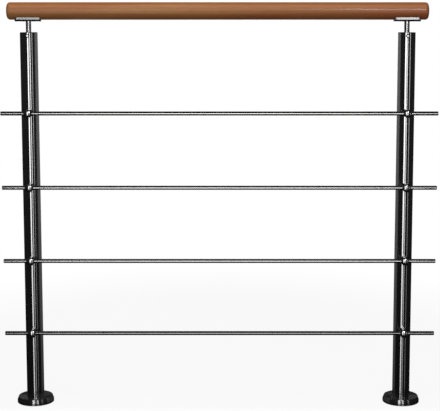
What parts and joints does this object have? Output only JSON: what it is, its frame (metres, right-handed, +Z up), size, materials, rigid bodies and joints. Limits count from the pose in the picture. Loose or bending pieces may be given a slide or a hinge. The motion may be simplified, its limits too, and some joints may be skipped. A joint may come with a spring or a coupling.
{
  "type": "stair railing",
  "caption": "Straight railing bay with round polished steel posts on covered round feet, thin level crossbars held in front, and a round wooden handrail on saddle plates.",
  "frame": {"origin": "centre of the left foot's underside, on the floor", "axes": "+X along the railing to the right, +Y away from the side with the crossbars, +Z up"},
  "size_m": [1.05, 0.0927, 0.9869],
  "materials": {
    "wood": "clear satin varnish",
    "post_steel": "mirror polished",
    "foot_steel": "mirror polished",
    "bar_steel": "polished",
    "bracket_steel": "polished",
    "screw_steel": "polished"
  },
  "bodies": {
    "root": {"handrail": "wood", "left_base_plate": "foot_steel", "left_base_cover": "foot_steel", "left_post": "post_steel", "left_post_cap": "post_steel", "left_post_screw": "screw_steel", "left_stem": "bracket_steel", "left_saddle": "bracket_steel", "left_bar_holder_1": "bar_steel", "left_bar_holder_2": "bar_steel", "left_bar_holder_3": "bar_steel", "left_bar_holder_4": "bar_steel", "right_base_plate": "foot_steel", "right_base_cover": "foot_steel", "right_post": "post_steel", "right_post_cap": "post_steel", "right_post_screw": "screw_steel", "right_stem": "bracket_steel", "right_saddle": "bracket_steel", "right_bar_holder_1": "bar_steel", "right_bar_holder_2": "bar_steel", "right_bar_holder_3": "bar_steel", "right_bar_holder_4": "bar_steel", "crossbar_1": "bar_steel", "crossbar_2": "bar_steel", "crossbar_3": "bar_steel", "crossbar_4": "bar_steel"}
  },
  "joints": []
}
